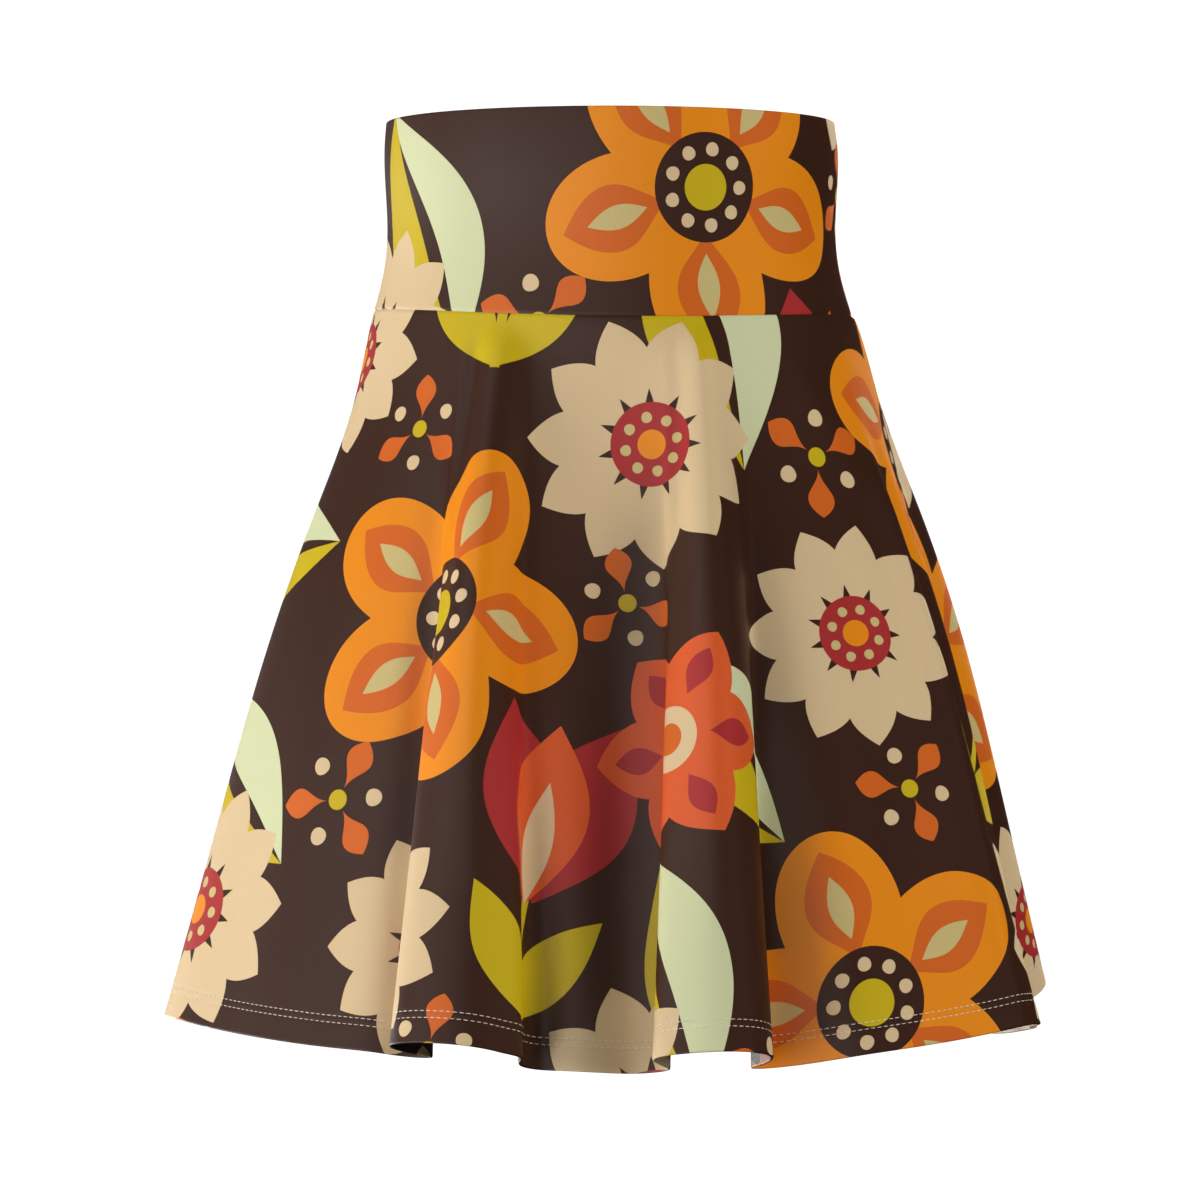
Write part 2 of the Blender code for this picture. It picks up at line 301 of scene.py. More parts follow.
def rising_spline(knots, values, at):
    """Cubic spline that rises or falls only where its values do."""
    knots, values, at = (np.asarray(a, float) for a in (knots, values, at))
    step = np.diff(knots)
    slope = np.diff(values) / step
    grade = np.concatenate([slope[:1], np.zeros(len(knots) - 2), slope[-1:]])
    for i in range(1, len(knots) - 1):
        if slope[i - 1] * slope[i] > 0:
            before, after = 2 * step[i] + step[i - 1], step[i] + 2 * step[i - 1]
            grade[i] = (before + after) / (before / slope[i - 1] + after / slope[i])
    i = np.clip(np.searchsorted(knots, at) - 1, 0, len(step) - 1)
    share = (at - knots[i]) / step[i]
    keep = (1 + 2 * share) * (1 - share) ** 2
    leave = share * (1 - share) ** 2
    arrive = share**2 * (share - 1)
    return (
        keep * values[i]
        + (1 - keep) * values[i + 1]
        + step[i] * (leave * grade[i] + arrive * grade[i + 1])
    )


def closed_spline(points, per_span):
    """Closed curve with continuous curvature through the points, per_span samples in each span."""
    points = np.asarray(points, float)
    count = len(points)
    step = np.linalg.norm(np.roll(points, -1, axis=0) - points, axis=1)
    slope = (np.roll(points, -1, axis=0) - points) / step[:, None]
    matrix = np.zeros((count, count))
    for i in range(count):
        matrix[i, i - 1] = step[i - 1]
        matrix[i, i] = 2 * (step[i - 1] + step[i])
        matrix[i, (i + 1) % count] = step[i]
    bend = np.linalg.solve(matrix, 6 * (slope - np.roll(slope, 1, axis=0)))
    spans = []
    share = np.arange(per_span)[:, None] / per_span
    for i in range(count):
        j = (i + 1) % count
        rise = ((1 - share) ** 3 - (1 - share)) * bend[i] + (share**3 - share) * bend[j]
        spans.append((1 - share) * points[i] + share * points[j] + rise * step[i] ** 2 / 6)
    return spans


def run_length(points):
    """Length along the line to each of its points."""
    return np.concatenate([[0.0], np.cumsum(np.linalg.norm(np.diff(points, axis=0), axis=1))])


def hem_half(side):
    """One half of the hem in metres, from the left seam round the front or the back to the right seam."""
    front_points = [point for *_, line in FRONT_FOLDS for point in line]
    back_points = [point for *_, line in BACK_FOLDS for point in line]
    loop = np.array(front_points + back_points[1:-1]) * MM
    spans = closed_spline(loop, SPAN_SAMPLES)
    turn = len(front_points) - 1
    if side == FRONT:
        return np.concatenate(spans[:turn] + [loop[turn : turn + 1]])
    return np.concatenate(spans[turn:] + [loop[:1]])[::-1]


def ring_point(ring, angle, side):
    """(x, y) on an oval ring; the angle runs from the left side, round the front or back, to the right."""
    left, right, deep = ring
    wide = np.where(angle < math.pi / 2, left, right)
    return -wide * np.cos(angle), side * deep * np.sin(angle)


class Half:
    """The front or the back half of the skirt: its hem line, and the seam ring above it."""

    def __init__(self, side):
        self.side = side
        hem = hem_half(side)
        length = run_length(hem)
        even = np.linspace(0.0, length[-1], HEM_SAMPLES)
        self.hem = np.column_stack([np.interp(even, length, hem[:, k]) for k in (0, 1)])
        self.hem_length = length[-1]
        self.set_starts(FRONT_FOLDS if side == FRONT else BACK_FOLDS)

    def set_starts(self, folds):
        """Where each fold starts on the ring, and its bulge."""
        rows = []
        every = np.linspace(0.0, 1.0, HEM_SAMPLES)
        for _, start, bulge, line in folds:
            tip = max(line, key=lambda point: math.hypot(*point))
            apart = np.linalg.norm(self.hem - np.array(tip) * MM, axis=1)
            rows.append((every[np.argmin(apart)], math.radians(start), bulge * MM))
        rows.sort()
        self.start_share, self.start_angle, self.start_bulge = np.array(rows).T

    def angle_at(self, share):
        return rising_spline(self.start_share, self.start_angle, share)

    def bulge_at(self, share):
        return rising_spline(self.start_share, self.start_bulge, share)

    def hem_at(self, share):
        every = np.linspace(0.0, 1.0, HEM_SAMPLES)
        return np.column_stack([np.interp(share, every, self.hem[:, k]) for k in (0, 1)])

    def columns(self, count):
        """Shares of the way round, closer together where the hem turns."""
        along = np.gradient(self.hem, axis=0)
        heading = np.unwrap(np.arctan2(along[:, 1], along[:, 0]))
        turning = np.abs(np.gradient(heading)) * HEM_SAMPLES / self.hem_length * TURN_SPAN
        weight = 1.0 + TURN_WEIGHT * np.sqrt(turning)
        total = np.concatenate([[0.0], np.cumsum((weight[1:] + weight[:-1]) / 2)])
        every = np.linspace(0.0, 1.0, HEM_SAMPLES)
        return np.interp(np.linspace(0.0, total[-1], count), total, every)


def seam_height(angle):
    """Height of the seam between band and skirt; angle runs from the left side to the right side."""
    return SEAM_HEIGHT - SEAM_DIP * np.sin(angle) ** 2 + SEAM_TILT * np.cos(angle)


def cloth_length(angle):
    """Length of the cloth from the seam to the hem's edge, by the angle at which it leaves the seam."""
    return SIDE_LENGTH + (FRONT_LENGTH - SIDE_LENGTH) * np.sin(angle) ** 2


def skirt_surface(half, shares, downs):
    """Grid of points on the skirt's outer side, at shares round it and downs, shares of the way down."""
    down = np.linspace(0.0, 1.0, DROP_STEPS + 1)
    out = natural_spline(*np.array(FLARE).T, down)[:, None]
    angle = half.angle_at(shares)
    hem = half.hem_at(shares)
    seam_x, seam_y = ring_point(SEAM_RING, angle, half.side)
    cone_x, cone_y = ring_point(HEM_RING, angle, half.side)
    bulge = np.sin(math.pi * down**BULGE_PEAK)[:, None] * half.bulge_at(shares)
    folding = out**FOLD_GROWTH
    x = seam_x + out * (cone_x - seam_x) + folding * (hem[:, 0] - cone_x) - bulge * np.cos(angle)
    y = seam_y + out * (cone_y - seam_y) + folding * (hem[:, 1] - cone_y)
    y = y + half.side * bulge * np.sin(angle)
    outward = np.hypot(np.diff(x, axis=0), np.diff(y, axis=0))
    step = cloth_length(angle) / DROP_STEPS
    drop = np.sqrt(np.maximum(step**2 - outward**2, 0.0))
    fallen = np.concatenate([np.zeros((1, len(shares))), np.cumsum(drop, axis=0)])
    fine = np.stack([x, y, seam_height(angle) - fallen], axis=-1)
    place = np.clip(np.asarray(downs) * DROP_STEPS, 0, DROP_STEPS)
    low = np.minimum(place.astype(int), DROP_STEPS - 1)
    part = (place - low)[:, None, None]
    return fine[low] * (1 - part) + fine[low + 1] * part


def band_surface(side, angle, downs):
    """Grid of points on the waistband's outer side."""
    table = np.array(BAND_SECTIONS)
    left, right, deep = (natural_spline(table[:, 0], table[:, k], downs)[:, None] for k in (1, 2, 3))
    x, y = ring_point((left, right, deep), angle, side)
    z = BAND_TOP + (seam_height(angle) - BAND_TOP) * np.asarray(downs)[:, None]
    return np.stack([x, y, z], axis=-1)


def unit(vectors):
    return vectors / np.linalg.norm(vectors, axis=-1, keepdims=True)


def outward_normals(grid, side):
    """Outward normals of a grid whose rows run downwards."""
    return side * unit(np.cross(np.gradient(grid, axis=1), np.gradient(grid, axis=0)))


def cut_place(share, down):
    """Flat place in millimetres on a skirt panel's cut, at a share round it and millimetres down."""
    turn = (share - 0.5) * CUT_SPREAD
    radius = CUT_INNER / MM + down
    return np.stack(np.broadcast_arrays(radius * np.sin(turn), -radius * np.cos(turn)), axis=-1)


def band_place(share, down):
    """Flat place in millimetres on the band's strip, at a share round it and millimetres down."""
    return np.stack(np.broadcast_arrays((share - 0.5) * BAND_CUT / MM, -down), axis=-1)


def crease_height(creases, locate, share, down):
    """Height of the creases, in millimetres, at a share round the piece and millimetres down."""
    place = locate(share, down)
    height = np.zeros(place.shape[:-1])
    for start, end, bow, width, rise in creases:
        first, last = locate(start[0] / 100, start[1]), locate(end[0] / 100, end[1])
        length = np.linalg.norm(last - first)
        along = (last - first) / length
        offset = place - first
        part = np.clip(offset @ along / length, 0.0, 1.0)
        aside = offset[..., 0] * along[1] - offset[..., 1] * along[0] - bow * 4 * part * (1 - part)
        height += rise * np.exp(-((aside / width) ** 2)) * np.sin(math.pi * part)
    return height


def groove(distance):
    """How far the cloth turns in, in millimetres, at so many millimetres from a seam."""
    return GROOVE_DEPTH * np.exp(-((distance / GROOVE_WIDTH) ** 2))


def stitch_dent(height):
    """How far the stitching draws the hem in, in millimetres, at so many millimetres above its edge."""
    return sum(STITCH_DENT * np.exp(-(((height - row) / STITCH_SPREAD) ** 2)) for row in STITCH_ROWS)


def along_rows(grid):
    """Millimetres along each row of the grid, from its first column."""
    step = np.linalg.norm(np.diff(grid, axis=1), axis=-1) / MM
    return np.concatenate([np.zeros((len(grid), 1)), np.cumsum(step, axis=1)], axis=1)


def turned_in(from_seam, run):
    """How far the cloth turns in at the waist seam and both side seams, in millimetres."""
    from_side = np.minimum(run, run[:, -1:] - run)
    return np.minimum(groove(from_seam)[:, None] + groove(from_side), GROOVE_DEPTH)


def cut_share(run, side):
    """Share of the way round the cut piece. The print is even along each row and reads right from outside."""
    return 0.5 - side * (run / run[:, -1:] - 0.5)


def skirt_outside(half, shares, down):
    """The skirt's outer side with its creases, and its outward normals without them."""
    grid = skirt_surface(half, shares, down * MM / FRONT_LENGTH)
    normal = outward_normals(grid, half.side)
    creases = SKIRT_FRONT_CREASES if half.side == FRONT else SKIRT_BACK_CREASES
    height = crease_height(creases, cut_place, shares[None, :], down[:, None])
    height *= 1 - np.exp(-((down[:, None] / CREASE_CLEAR) ** 2))
    return grid + normal * height[..., None] * MM, normal


def band_outside(side, shares, down):
    """The band's outer side and its outward normals. Its rows run upwards, which turns the normals round."""
    grid = band_surface(side, shares * math.pi, down * MM / BAND_CUT_HEIGHT)
    return grid, -outward_normals(grid, side)


def seam_columns(shares, near):
    """The shares, with closer ones at both side seams."""
    clear = near[-1] * EDGE_GAP
    middle = shares[(shares > clear) & (shares < 1 - clear)]
    return np.concatenate([near, middle, 1 - near[::-1]])


def fold_rows(outer, inner):
    """Rows round a half circle from the outer side's last row to the inner side's, bulging past the edge."""
    beyond = unit(outer[-1] - outer[-2])
    middle, across = (outer[-1] + inner[-1]) / 2, (outer[-1] - inner[-1]) / 2
    radius = np.linalg.norm(across, axis=-1, keepdims=True)
    turns = np.linspace(0, math.pi, FOLD_STEPS + 2)[1:-1]
    return [middle + across * math.cos(turn) + beyond * radius * math.sin(turn) for turn in turns]


def cloth_mesh(name, outer, fold, inner, places, reverse_rows):
    """A closed mesh from the outer side, over the folded edge and back along the inner side.

    places holds each point's flat place in millimetres. The first reverse_rows strips of the inner side,
    counted from the edge that isn't folded, show the cloth's reverse.
    """
    rows, columns = len(outer), outer.shape[1]
    points = np.concatenate([outer, np.array(fold), inner[::-1]])
    total = len(points)
    index = np.arange(total * columns).reshape(total, columns)
    index = np.concatenate([index, index[:1]])
    quads = np.stack([index[:-1, :-1], index[1:, :-1], index[1:, 1:], index[:-1, 1:]], axis=-1)
    faces = quads.reshape(-1, 4).tolist()
    kinds = np.zeros((total, columns - 1), int)
    kinds[total - 1 - reverse_rows : total - 1] = 1
    kinds = kinds.ravel().tolist()
    for end in (0, -1):
        line = index[:-1, end].tolist()
        for i in range(rows - 1):
            faces.append([line[i], line[i + 1], line[total - 2 - i], line[total - 1 - i]])
        faces.append(line[rows - 1 : total - rows + 1])
        kinds += [0] * rows
    mesh = bpy.data.meshes.new(name)
    mesh.from_pydata(points.reshape(-1, 3).tolist(), [], faces)
    mesh.polygons.foreach_set("material_index", kinds)
    corners = np.empty(len(mesh.loops), int)
    mesh.loops.foreach_get("vertex_index", corners)
    layer = mesh.uv_layers.new(name=CUT_MAP)
    layer.data.foreach_set("uv", (places.reshape(-1, 2)[corners] * MM).ravel())
    turn_outward(mesh)
    mesh.shade_smooth()
    return mesh


def turn_outward(mesh):
    """Turns every face outwards."""
    body = bmesh.new()
    body.from_mesh(mesh)
    bmesh.ops.recalc_face_normals(body, faces=body.faces)
    body.to_mesh(mesh)
    body.free()


def add_object(name, mesh, materials):
    """Adds the mesh as a piece of the part."""
    obj = bpy.data.objects.new(name, mesh)
    for entry in materials:
        mesh.materials.append(entry)
    bpy.context.scene.collection.objects.link(obj)
    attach(obj, "root")
    return obj


def skirt_rows(length, last):
    """Millimetres down the skirt, closer together at the waist seam and over the turned-up hem."""
    close = length - HEM_DEPTH - HEM_ROWS_LEAD
    body = np.linspace(SEAM_ROWS[-1] + SKIRT_SEAM_GAP, close - HEM_ROWS_GAP, SKIRT_ROWS)
    return np.concatenate([SEAM_ROWS, body, np.arange(close, last, HEM_ROW_STEP), [last]])


def skirt_places(turn, down, folded):
    """Flat places on the cut panel: down the outer side, round the hem's fold and up the inner side."""
    length = FRONT_LENGTH / MM
    outer = cut_place(turn, down[:, None])
    fold = cut_place(turn[-1:], np.linspace(length, length + HEM_FOLD / MM, FOLD_STEPS)[:, None])
    turned_up = np.where(folded, 2 * length - down, down)
    inner = cut_place(turn, turned_up[:, None])
    return np.concatenate([outer, fold, inner[::-1]])


def add_skirt(side, place, materials):
    """One skirt panel: the cloth from the waist seam down, its turned-up hem and its seams rolled in."""
    half = Half(side)
    length = FRONT_LENGTH / MM
    down = skirt_rows(length, length - HEM_FOLD / MM / 2)
    shares = seam_columns(half.columns(SKIRT_COLUMNS), np.array(SKIRT_EDGE_COLUMNS))
    grid, normal = skirt_outside(half, shares, down)
    run = along_rows(grid)
    roll = turned_in(down, run)
    dent = stitch_dent(length - down)[:, None]
    outer = grid - normal * (roll + dent)[..., None] * MM
    folded = down > length - HEM_DEPTH
    thick = np.where(folded, HEM_FOLD, JERSEY)[:, None, None]
    inner = grid - normal * (roll[..., None] * MM + thick)
    fold = fold_rows(outer, inner)
    places = skirt_places(cut_share(run, side), down, folded) + np.array(PRINT_SHIFTS["skirt_" + place])
    mesh = cloth_mesh("printed_skirt_" + place, outer, fold, inner, places, int((~folded).sum()))
    skirt = add_object("printed_skirt_" + place, mesh, materials)
    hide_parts("skirt_" + place)
    return half


def band_rows(height):
    """Millimetres down the band from its top edge, from the waist seam upwards."""
    seam = height - np.array(SEAM_ROWS)
    body = np.linspace(seam[-1] - BAND_SEAM_GAP, BAND_TOP_ROWS[0], BAND_ROWS)
    return np.concatenate([seam, body, BAND_TOP_ROWS[1:], [BAND_THICKNESS / MM / 2]])


def band_places(turn, down):
    """Flat places on the band's strip: up the outer side, over the top fold and down the inner side."""
    outer = band_place(turn, down[:, None])
    fold = band_place(turn[-1:], np.linspace(0, -BAND_THICKNESS / MM, FOLD_STEPS)[:, None])
    inner = band_place(turn, -down[:, None])
    return np.concatenate([outer, fold, inner[::-1]])


def add_band(side, place, materials):
    """Half of the waistband: the cloth from the waist seam up, over the top fold and down inside."""
    height = BAND_CUT_HEIGHT / MM
    down = band_rows(height)
    shares = seam_columns(np.linspace(0.0, 1.0, BAND_COLUMNS + 1), np.array(BAND_EDGE_COLUMNS))
    grid, normal = band_outside(side, shares, down)
    run = along_rows(grid)
    roll = turned_in(height - down, run)
    inner_roll = roll * (down > BAND_TOP_PLAIN)[:, None]
    outer = grid - normal * roll[..., None] * MM
    inner = grid - normal * (inner_roll[..., None] * MM + BAND_THICKNESS)
    fold = fold_rows(outer, inner)
    places = band_places(cut_share(run, side), down) + np.array(PRINT_SHIFTS["waistband_" + place])
    mesh = cloth_mesh("printed_band_" + place, outer, fold, inner, places, 0)
    band = add_object("printed_band_" + place, mesh, materials)
    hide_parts("waistband_" + place)


def capsule_faces(size):
    """Triangles of one thread, whose points are its start, the rings between and, last, its end."""
    sides, last = STITCH_SIDES, len(STITCH_PROFILE) - 1
    faces = []
    for i in range(sides):
        j = (i + 1) % sides
        faces.append((0, 1 + j, 1 + i))
        faces.append((size - 1, 1 + last * sides + i, 1 + last * sides + j))
        for ring in range(last):
            low = 1 + ring * sides
            faces.append((low + i, low + j, low + sides + j))
            faces.append((low + i, low + sides + j, low + sides + i))
    return np.array(faces)


def capsules(starts, ends, normals):
    """One mesh of short rounded threads from starts to ends, flattened along the normals."""
    length = np.linalg.norm(ends - starts, axis=-1, keepdims=True)
    along = unit(ends - starts)
    aside = unit(np.cross(along, normals))
    up = np.cross(aside, along)
    rings = []
    for share, width in STITCH_PROFILE:
        centre = starts + along * (length * share)
        for i in range(STITCH_SIDES):
            turn = 2 * math.pi * i / STITCH_SIDES
            out = aside * math.cos(turn) + up * math.sin(turn) * STITCH_FLATNESS
            rings.append(centre + out * THREAD_RADIUS * MM * width)
    points = np.stack([starts] + rings + [ends], axis=1)
    count, size = points.shape[:2]
    faces = np.arange(count)[:, None, None] * size + capsule_faces(size)
    mesh = bpy.data.meshes.new("thread")
    mesh.from_pydata(points.reshape(-1, 3).tolist(), [], faces.reshape(-1, 3).tolist())
    turn_outward(mesh)
    mesh.shade_smooth()
    return mesh


def along_row(half, height, lift):
    """Points, normals and running lengths round the hem, height above its edge and lift off the cloth."""
    down = FRONT_LENGTH / MM - height
    shares = half.columns(HEM_SAMPLES)
    rows = np.array([down - ROW_PROBE, down, down + ROW_PROBE])
    grid, normal = skirt_outside(half, shares, rows)
    line = grid[1] + normal[1] * lift * MM
    return line, normal[1], run_length(line)


def read_along(line, normal, length, at):
    """Points and normals at running lengths along a row."""
    points = np.column_stack([np.interp(at, length, line[:, k]) for k in range(3)])
    normals = np.column_stack([np.interp(at, length, normal[:, k]) for k in range(3)])
    return points, normals


def needle_stitches(half):
    """The hem's two rows of stitches outside."""
    starts, ends, normals = [], [], []
    for row, height in enumerate(STITCH_ROWS):
        line, normal, length = along_row(half, height, STITCH_LIFT)
        count = int(length[-1] / (STITCH_PITCH * MM))
        place = np.arange(count) + STITCH_START + STITCH_STAGGER * row
        first = place * length[-1] / (count + STITCH_STAGGER)
        start, start_normal = read_along(line, normal, length, first)
        end, _ = read_along(line, normal, length, first + STITCH_LENGTH * MM)
        starts.append(start)
        ends.append(end)
        normals.append(start_normal)
    return capsules(*map(np.concatenate, (starts, ends, normals)))


def looper_thread(half):
    """The thread that crosses to and fro between the two rows inside."""
    inside = -HEM_FOLD / MM - STITCH_LIFT
    low, high = (along_row(half, height, inside) for height in STITCH_ROWS)
    low_length, high_length = low[-1][-1], high[-1][-1]
    count = int(low_length / (STITCH_PITCH * MM)) * 2 + 1
    share = (np.arange(count) + 0.5) / (count + 1)
    low_points, low_normals = read_along(*low, share * low_length)
    high_points, _ = read_along(*high, share * high_length)
    odd = np.arange(count) % 2 == 1
    zigzag = np.where(odd[:, None], high_points, low_points)
    return capsules(zigzag[:-1], zigzag[1:], -low_normals[:-1])


def add_stitches(half, place, thread):
    add_object(f"hem_stitches_{place}", needle_stitches(half), [thread])
    add_object(f"hem_looper_{place}", looper_thread(half), [thread])


class Nodes:
    """Adds nodes to one tree. A value is a number, a colour or another node's output."""

    def __init__(self, tree):
        self.tree = tree

    def add(self, kind, **settings):
        """A new node with these settings."""
        node = self.tree.nodes.new(kind)
        for name, value in settings.items():
            setattr(node, name, value)
        return node

    def feed(self, socket, value):
        if isinstance(value, bpy.types.NodeSocket):
            self.tree.links.new(value, socket)
        else:
            socket.default_value = value

    def math(self, operation, *values):
        node = self.add("ShaderNodeMath", operation=operation)
        for socket, value in zip(node.inputs, values):
            self.feed(socket, value)
        return node.outputs[0]

    def vector(self, operation, *values):
        node = self.add("ShaderNodeVectorMath", operation=operation)
        for socket, value in zip(node.inputs, values):
            self.feed(socket, value)
        return node.outputs["Value" if operation == "LENGTH" else "Vector"]

    def split(self, vector):
        node = self.add("ShaderNodeSeparateXYZ")
        self.feed(node.inputs[0], vector)
        return node.outputs[0], node.outputs[1]

    def join(self, x, y):
        node = self.add("ShaderNodeCombineXYZ")
        self.feed(node.inputs[0], x)
        self.feed(node.inputs[1], y)
        return node.outputs[0]

    def place(self, vector, turn, size):
        """The vector turned back by so many degrees and measured in sizes."""
        node = self.add("ShaderNodeMapping", vector_type="POINT")
        self.feed(node.inputs["Vector"], vector)
        node.inputs["Rotation"].default_value = (0.0, 0.0, -math.radians(turn))
        node.inputs["Scale"].default_value = (1 / size, 1 / size, 1.0)
        return node.outputs[0]

    def shift(self, vector, x, y):
        return self.vector("SUBTRACT", vector, (x, y, 0.0))

    def share(self, value, start, end):
        """0 at start, 1 at end, even between."""
        node = self.add("ShaderNodeMapRange")
        for socket, given in zip(node.inputs, (value, start, end)):
            self.feed(socket, given)
        return node.outputs[0]

    def mix(self, factor, first, second):
        node = self.add("ShaderNodeMix", data_type="RGBA")
        for slot, value in ((0, factor), (6, first), (7, second)):
            self.feed(node.inputs[slot], value)
        return node.outputs[2]

    def noise(self, vector, scale, detail):
        node = self.add("ShaderNodeTexNoise")
        self.feed(node.inputs["Vector"], vector)
        node.inputs["Scale"].default_value = scale
        node.inputs["Detail"].default_value = detail
        return node.outputs["Fac"]

    def bump(self, height, strength, distance):
        node = self.add("ShaderNodeBump")
        node.inputs["Strength"].default_value = strength
        node.inputs["Distance"].default_value = distance
        self.feed(node.inputs["Height"], height)
        return node.outputs[0]


class Motif:
    """One motif of the print: its own coordinates in millimetres, and the colour laid so far."""

    def __init__(self, nodes, cloth, ground, spot):
        self.nodes, self.ground = nodes, ground
        x, y, turn, size = spot
        self.vector = nodes.place(self.nearest(cloth, x, y), turn, size)
        self.x, self.y = nodes.split(self.vector)

    def nearest(self, cloth, x, y):
        """Place about the nearest copy of the motif; every other column of copies is dropped by half."""
        nodes = self.nodes
        aside = nodes.math("SUBTRACT", cloth[0], x)
        near_x = nodes.math("WRAP", aside, REPEAT_WIDTH / 2, -REPEAT_WIDTH / 2)
        columns = nodes.math("SUBTRACT", aside, near_x)
        fall = nodes.math("MULTIPLY_ADD", columns, -REPEAT_HEIGHT / 2 / REPEAT_WIDTH, -y)
        up = nodes.math("ADD", cloth[1], fall)
        return nodes.join(near_x, nodes.math("WRAP", up, REPEAT_HEIGHT / 2, -REPEAT_HEIGHT / 2))

    def lay(self, mask, tint):
        """Lays a colour over the ground where the mask is 1."""
        self.ground = self.nodes.mix(mask, self.ground, tint)

    def polar(self):
        """Adds the distance from the middle and the angle round it."""
        self.radius = self.nodes.vector("LENGTH", self.vector)
        self.angle = self.nodes.math("ARCTAN2", self.y, self.x)

    def disc(self, radius, tint):
        self.lay(self.nodes.math("LESS_THAN", self.radius, radius), tint)

    def aside_of(self, count, turn):
        """Distance from the middle line of the nearest of so many petals."""
        nodes = self.nodes
        turned = nodes.math("ADD", self.angle, math.radians(turn))
        wrapped = nodes.math("WRAP", turned, math.pi / count, -math.pi / count)
        return nodes.math("MULTIPLY", nodes.math("ABSOLUTE", wrapped), self.radius)

    def petals(self, count, start, end, width, tint, turn=0.0, fullness=1.0):
        """Pointed petals from start to end; fullness over 1 makes them widest near the end."""
        nodes = self.nodes
        part = nodes.share(self.radius, start, end)
        if fullness != 1.0:
            part = nodes.math("POWER", part, fullness)
        wide = nodes.math("MULTIPLY", nodes.math("SINE", nodes.math("MULTIPLY", part, math.pi)), width)
        self.lay(nodes.math("LESS_THAN", self.aside_of(count, turn), wide), tint)

    def lobes(self, count, valley, peak, tint, turn=0.0):
        """A bloom with round lobes, from valley to peak away from the middle."""
        nodes = self.nodes
        phase = nodes.math("MULTIPLY_ADD", self.angle, count / 2, math.radians(turn) * count / 2)
        wave = nodes.math("ABSOLUTE", nodes.math("COSINE", phase))
        edge = nodes.math("MULTIPLY_ADD", wave, peak - valley, valley)
        self.lay(nodes.math("LESS_THAN", self.radius, edge), tint)

    def dots(self, count, ring, size, tint, turn=0.0):
        """A ring of dots."""
        nodes = self.nodes
        aside = self.aside_of(count, turn)
        apart = nodes.vector("LENGTH", nodes.join(aside, nodes.math("SUBTRACT", self.radius, ring)))
        self.lay(nodes.math("LESS_THAN", apart, size), tint)

    def leaf_mask(self, x, y, length, width):
        """Pointed leaf that stands on the origin."""
        nodes = self.nodes
        wide = nodes.math("SINE", nodes.math("MULTIPLY", nodes.share(y, 0.0, length), math.pi))
        return nodes.math("LESS_THAN", nodes.math("ABSOLUTE", x), nodes.math("MULTIPLY", wide, width))

    def leaf(self, length, width, tint):
        self.lay(self.leaf_mask(self.x, self.y, length, width), tint)

    def half_leaf(self, length, width, tint):
        """The right half of a leaf."""
        nodes = self.nodes
        right = nodes.math("GREATER_THAN", self.x, 0.0)
        mask = self.leaf_mask(self.x, self.y, length, width)
        self.lay(nodes.math("MULTIPLY", right, mask), tint)

    def bar(self, width, low, high, tint):
        """An upright bar, width to each side, from low to high."""
        nodes = self.nodes
        inside = nodes.math("LESS_THAN", nodes.math("ABSOLUTE", self.x), width)
        level = nodes.math("COMPARE", self.y, (low + high) / 2, (high - low) / 2)
        self.lay(nodes.math("MULTIPLY", inside, level), tint)


def daisy(motif):
    motif.polar()
    motif.petals(count=11, start=10.0, end=60.0, width=13.5, tint=CREAM, fullness=1.5)
    motif.disc(radius=20.0, tint=CRIMSON)
    motif.dots(count=8, ring=13.0, size=2.6, tint=PALE_YELLOW)
    motif.disc(radius=7.0, tint=AMBER)


def bloom(motif):
    motif.polar()
    motif.lobes(count=5, valley=48.0, peak=80.0, tint=AMBER, turn=90.0)
    motif.petals(count=5, start=20.0, end=72.0, width=15.5, tint=ORANGE, turn=90.0, fullness=1.2)
    motif.petals(count=5, start=30.0, end=60.0, width=5.4, tint=PALE_YELLOW, turn=90.0)
    motif.disc(radius=25.0, tint=GROUND)
    motif.dots(count=9, ring=17.5, size=3.2, tint=CREAM)
    motif.disc(radius=10.5, tint=LIME)


def star(motif):
    motif.polar()
    motif.petals(count=6, start=5.0, end=50.0, width=18.5, tint=CORAL, fullness=1.3)
    motif.petals(count=6, start=20.0, end=42.0, width=6.0, tint=CRIMSON, fullness=1.2)
    motif.disc(radius=14.5, tint=CREAM)
    motif.disc(radius=7.0, tint=ORANGE)


def folk_leaf(motif):
    motif.leaf(*FOLK_LEAF, LIME)
    motif.half_leaf(*FOLK_LEAF, PALE_GREEN)
    motif.leaf(*FOLK_LEAF_RIB, GROUND)


def tulip(motif):
    nodes = motif.nodes
    motif.bar(width=TULIP_STEM_WIDTH, low=-TULIP_STEM, high=0.0, tint=LIME)
    mirrored = nodes.join(nodes.math("ABSOLUTE", motif.x), motif.y)
    foot = nodes.place(nodes.shift(mirrored, 0.0, -TULIP_STEM), TULIP_LEAF_TURN, 1.0)
    motif.lay(motif.leaf_mask(*nodes.split(foot), *TULIP_LEAF), LIME)
    side = nodes.place(nodes.shift(mirrored, *TULIP_SIDE_FOOT), TULIP_SIDE_TURN, 1.0)
    motif.lay(motif.leaf_mask(*nodes.split(side), *TULIP_SIDE), CRIMSON)
    middle = nodes.split(nodes.shift(motif.vector, *TULIP_MIDDLE_FOOT))
    motif.lay(motif.leaf_mask(*middle, *TULIP_MIDDLE), CORAL)
    motif.lay(motif.leaf_mask(*middle, *TULIP_HEART), CREAM)


def buds(motif):
    motif.polar()
    motif.petals(count=3, start=7.0, end=38.0, width=9.0, tint=ORANGE, turn=90.0, fullness=1.8)
    motif.dots(count=3, ring=24.0, size=5.2, tint=CREAM, turn=30.0)
    motif.disc(radius=6.0, tint=LIME)


